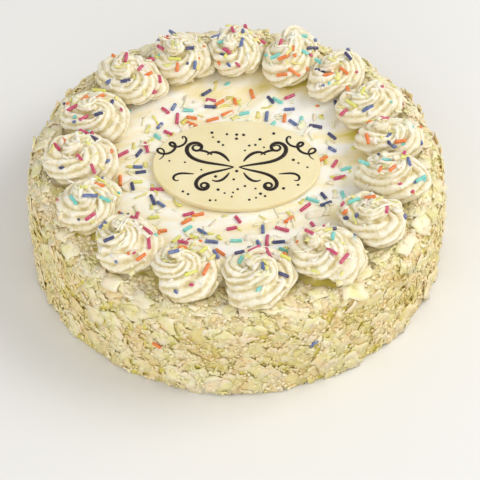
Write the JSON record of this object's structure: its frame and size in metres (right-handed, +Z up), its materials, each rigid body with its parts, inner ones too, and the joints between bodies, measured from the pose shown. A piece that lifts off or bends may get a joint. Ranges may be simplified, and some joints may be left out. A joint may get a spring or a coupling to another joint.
{
  "type": "birthday cake",
  "caption": "Round frosted birthday cake with a crust of white-chocolate shavings, a ring of piped buttercream rosettes, rainbow sprinkles and an oval white-chocolate plaque",
  "frame": {"origin": "centre of the cake's flat underside, at the bottom centre of its bounding box", "axes": "+Z up along the cake's axis, front towards -Y, so that the plaque is seen upright from the front, and +X to the right"},
  "size_m": [0.1999, 0.2009, 0.067],
  "materials": {
    "crusted_buttercream": "satin",
    "piped_buttercream": "satin",
    "white_chocolate": "satin",
    "sugar_sprinkles": "satin",
    "dark_chocolate": "satin"
  },
  "bodies": {
    "root": {"cake_body": "crusted_buttercream", "chocolate_plaque": "white_chocolate", "rosette_01": "piped_buttercream", "rosette_02": "piped_buttercream", "rosette_03": "piped_buttercream", "rosette_04": "piped_buttercream", "rosette_05": "piped_buttercream", "rosette_06": "piped_buttercream", "rosette_07": "piped_buttercream", "rosette_08": "piped_buttercream", "rosette_09": "piped_buttercream", "rosette_10": "piped_buttercream", "rosette_11": "piped_buttercream", "rosette_12": "piped_buttercream", "rosette_13": "piped_buttercream", "rosette_14": "piped_buttercream", "rosette_15": "piped_buttercream", "rosette_16": "piped_buttercream"}
  },
  "joints": []
}
